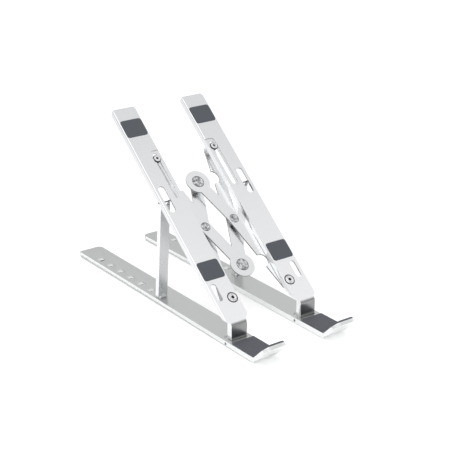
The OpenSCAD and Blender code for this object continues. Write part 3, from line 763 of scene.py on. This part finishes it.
def rounded_profile(points, radius, steps=3):
    """The same profile with each inner corner replaced by a short quadratic curve, which
    runs from q0 to q2 past the corner q1: Q(s) = (1-s)^2 q0 + 2 s (1-s) q1 + s^2 q2."""
    points = [np.array(point, float) for point in points]
    result = [points[0]]
    for before, here, after in zip(points, points[1:], points[2:]):
        back, ahead = before - here, after - here
        cut = min(radius, 0.45 * np.linalg.norm(back), 0.45 * np.linalg.norm(ahead))
        start = here + back / np.linalg.norm(back) * cut
        end = here + ahead / np.linalg.norm(ahead) * cut
        for s in np.linspace(0, 1, steps + 1):
            result.append((1 - s) ** 2 * start + 2 * s * (1 - s) * here + s**2 * end)
    result.append(points[-1])
    return [tuple(point) for point in result]


def radius_at(node, low, high, about):
    """The greatest distance from the axis through a point, over the corners of the node that
    lie between two heights along the slope's normal."""
    points = corners(node)
    height = points @ normal
    points = points[(height > low) & (height < high)] - about
    flat = points - (points @ normal)[:, None] * normal
    return np.linalg.norm(flat, axis=1).max()


def axis_point(node):
    """The middle of a node that is round about the slope's normal."""
    ways = np.array([across, uphill, normal])
    return np.array([sum(extent(node, way)) / 2 for way in ways]) @ ways


# %% [markdown]
# ### Rivets
# A hub rivet is a wide polished disc whose middle is dished, with a raised dot left by the press.
# The cross rivets are smaller with the same dish. The profile takes the head's height and radius
# from the CAD node, dips towards the middle and comes down the shank to the tail.

# %% Rivets
EDGE = 0.1 * MM
DISH = [
    (0.93, 0.03), (0.86, 0), (0.78, 0.06), (0.55, 0.26),
    (0.38, 0.34), (0.30, 0.20), (0.2, 0.12), (0, 0.1),
]


def dished_rivet(node):
    """Turned rivet with a dished head that stands for the CAD rivet."""
    centre = axis_point(node)
    low, high = extent(node, normal)
    half = (high - low) / 2
    head = radius_at(node, high - 0.9 * MM, high + MM, centre)
    points = corners(node)
    heights = np.unique(np.round(points @ normal, 6))
    reach = []
    for height in heights:
        ring = points[near(points @ normal, height, 2e-6)] - centre
        flat = ring - (ring @ normal)[:, None] * normal
        reach.append(np.linalg.norm(flat, axis=1).max())
    outline = sorted(zip(heights - (high + low) / 2, reach))
    seat = [height for height, radius in outline if radius > head - 0.02 * MM][0]
    shank = min(radius for height, radius in outline if height <= seat)
    tail = outline[0][1]
    if tail < shank:
        below = [(shank - EDGE, -half), (shank, -half + EDGE)]
    else:
        below = [(tail - EDGE, -half), (tail, -half + EDGE), (tail, -half + 0.35 * MM),
                 (shank, -half + 0.36 * MM)]
    under = [(shank, seat + 0.02 * MM), (head - 0.05 * MM, seat + 0.03 * MM), (head, seat + 0.25 * MM)]
    dish = [(head * share, half - depth * MM) for share, depth in DISH]
    profile = [(0, -half)] + below + under + dish
    mesh = turned_mesh("turned_" + node, centre, rounded_profile(profile, EDGE), normal, across, head)
    return add_piece("turned_" + node, mesh, node, rivet_metal), head


for node in ("front_hub_rivet", "rear_hub_rivet", "left_cross_rivet", "right_cross_rivet"):
    rivet, head = dished_rivet(node)
    print(rivet.name, "head radius", round(head / MM, 2), "mm")

# %% [markdown]
# ### Screws
# The link screws are low flat-headed machine screws, and each sits on a thin washer, which
# keeps its CAD shape and is painted near black, so the ring of it round the head is a painted
# shadow. The head's rim is broken, and the socket is made as a short round well, painted dark as
# painted shade.

# %% Screws
# The head is a little narrower than the CAD head, so a ring of the washer's painted shadow shows round it.
HEAD_SHARE = 0.92
SHANK = 1.55 * MM
SOCKET = [(1.3, 0), (1.2, 0.1), (1.15, 0.6), (0, 0.62)]

for side in ("left", "right"):
    for place in ("front", "slide"):
        node = f"{side}_{place}_screw"
        centre = axis_point(node)
        low, high = extent(node, normal)
        half = (high - low) / 2
        head = radius_at(node, high - 1.0 * MM, high + MM, centre)
        head *= HEAD_SHARE
        tail = radius_at(node, low - MM, low + 0.2 * MM, centre)
        foot = [(0, -half), (tail - EDGE, -half), (tail, -half + EDGE), (tail, -half + 0.3 * MM)]
        shank = [(SHANK, -half + 0.31 * MM), (SHANK, half - 0.79 * MM)]
        rim = [(head - 0.05 * MM, half - 0.78 * MM), (head, half - 0.7 * MM),
               (head, half - 0.3 * MM), (head - 0.3 * MM, half)]
        socket = [(radius * MM, half - depth * MM) for radius, depth in SOCKET]
        profile = rounded_profile(foot + shank + rim + socket, 0.08 * MM)
        mesh = turned_mesh("turned_" + node, centre, profile, normal, across, head)
        screw = add_piece("turned_" + node, mesh, node, screw_metal)
        print(screw.name, "head radius", round(head / MM, 2), "mm")

# %% [markdown]
# ## Silicone pads
# A pad is a die-cut silicone tile glued in a shallow pocket. Its edge is a small quarter round,
# so the tile is a stack of rounded-square rings: ring k lies inset by i(k) and at height h(k), and
# the point at angle t of a ring of half sizes a, b is a superellipse,
# x = a sign(cos t)|cos t|^e, y = b sign(sin t)|sin t|^e, with e small for nearly square corners.
# The grid closes in the middle of the top and of the bottom.

# %% Silicone pads
PAD_TURNS = 128
PAD_SQUARE = 0.22
PAD_EDGE = 0.28 * MM


def silicone_tile(node):
    """Superellipse tile that fills the CAD pad's length, width and thickness."""
    spans = [extent(node, way) for way in (across, uphill, normal)]
    centre = sum(way * (low + high) / 2 for way, (low, high) in zip((across, uphill, normal), spans))
    half_x, half_y, half_z = ((high - low) / 2 - 0.005 * MM for low, high in spans)
    turns = np.linspace(0, 2 * math.pi, PAD_TURNS, endpoint=False)
    wave_x = np.sign(np.cos(turns)) * np.abs(np.cos(turns)) ** PAD_SQUARE
    wave_y = np.sign(np.sin(turns)) * np.abs(np.sin(turns)) ** PAD_SQUARE
    edge = PAD_EDGE
    quarter = np.linspace(0, math.pi / 2, 6)
    rolled = [(edge * (1 - math.cos(a)), half_z - edge * (1 - math.sin(a))) for a in quarter]
    below = [(half_x * 0.6, -half_z), (half_x * 0.2, -half_z), (edge * 0.3, -half_z)]
    rows = below + [(0.0, -half_z + edge * 0.3)] + rolled + [(half_x * 0.2, half_z), (half_x * 0.6, half_z)]
    points = []
    for inset, height in rows:
        ring = (
            centre
            + ((half_x - inset) * wave_x)[:, None] * across
            + ((half_y - inset) * wave_y)[:, None] * uphill
            + height * normal
        )
        points.append(ring)
    caps = np.array([centre - half_z * normal, centre + half_z * normal])
    mesh = closed_rings("tile_" + node, np.array(points), caps)
    return add_piece("tile_" + node, mesh, node, silicone)


for side in ("left", "right"):
    for place in ("upper", "lower"):
        tile = silicone_tile(f"{side}_{place}_pad")
        print(tile.name, len(tile.data.polygons), "faces")

# %% [markdown]
# ### Hook pads
# The pad in each hook is one strip that follows the bend, with its rim slightly rounded. It keeps
# the CAD shape, and only its edges are rolled over.

# %% Hook pads
HOOK_PAD_EDGE = 0.3 * MM

for side in ("left", "right"):
    node = side + "_hook_pad"
    pad = pressed(node, HOOK_PAD_EDGE, lambda a, b: np.full(len(a), HOOK_PAD_EDGE))
    print(pad.name, len(pad.data.polygons), "faces before rounding")
